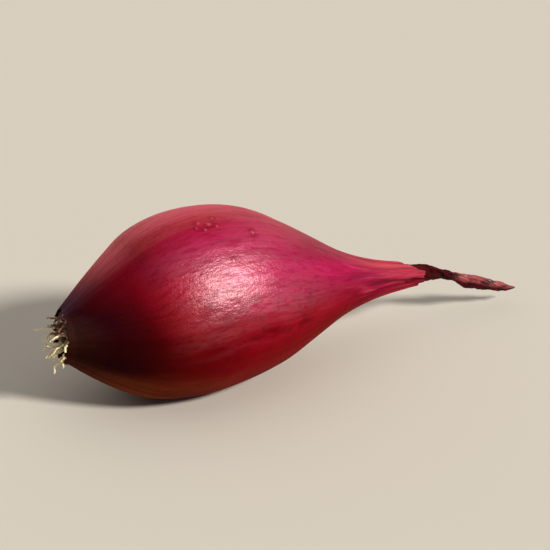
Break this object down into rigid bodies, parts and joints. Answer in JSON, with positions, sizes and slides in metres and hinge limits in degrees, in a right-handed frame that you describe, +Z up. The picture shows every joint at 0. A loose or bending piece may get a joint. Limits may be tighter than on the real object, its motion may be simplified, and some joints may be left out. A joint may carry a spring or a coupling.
{
  "type": "red onion",
  "caption": "Small torpedo-shaped red onion lying on its side, with a slender neck, a dried twisted leaf tail and short dried roots.",
  "frame": {"origin": "centre of the small flat spot that the bulb rests on", "axes": "+Z up from the surface it lies on, +X along the bulb from the root end towards the neck and tail"},
  "size_m": [0.1001, 0.034, 0.0335],
  "materials": {
    "onion_skin": "satin",
    "dried_leaf": "matte",
    "root_plate": "matte",
    "dried_root": "matte"
  },
  "bodies": {
    "root": {"bulb": "onion_skin", "root_plate": "root_plate", "dried_leaf_tail": "dried_leaf", "root_01": "dried_root", "root_02": "dried_root", "root_03": "dried_root", "root_04": "dried_root", "root_05": "dried_root", "root_06": "dried_root", "root_07": "dried_root", "root_08": "dried_root", "root_09": "dried_root", "root_10": "dried_root", "root_11": "dried_root", "root_12": "dried_root", "root_13": "dried_root", "root_14": "dried_root", "root_15": "dried_root", "root_16": "dried_root", "root_17": "dried_root", "root_18": "dried_root", "root_19": "dried_root", "root_20": "dried_root", "root_21": "dried_root", "root_22": "dried_root", "root_23": "dried_root", "root_24": "dried_root"}
  },
  "joints": []
}
